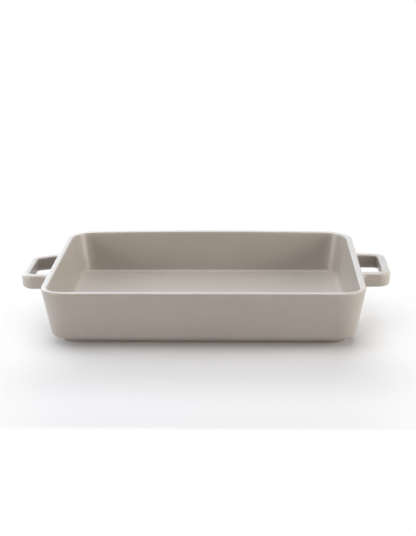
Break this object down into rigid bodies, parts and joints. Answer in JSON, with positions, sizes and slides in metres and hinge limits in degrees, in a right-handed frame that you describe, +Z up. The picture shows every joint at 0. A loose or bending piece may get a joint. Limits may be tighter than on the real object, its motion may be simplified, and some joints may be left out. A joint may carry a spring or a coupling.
{
  "type": "lasagna dish",
  "caption": "Rectangular stoneware baking dish with leaning walls, rounded corners, a foot ring and a strap handle on each short end.",
  "frame": {"origin": "middle of the footprint, on the surface the dish stands on", "axes": "+X along the dish to its right handle, +Y across it to the back, +Z up out of the dish"},
  "size_m": [0.3907, 0.2418, 0.059],
  "materials": {
    "glaze": "satin warm grey glaze with faint darker specks",
    "bare_clay": "matt unglazed stoneware"
  },
  "bodies": {
    "root": {"dish_body": "glaze", "left_handle": "glaze", "right_handle": "glaze", "foot_ring": "bare_clay"}
  },
  "joints": []
}
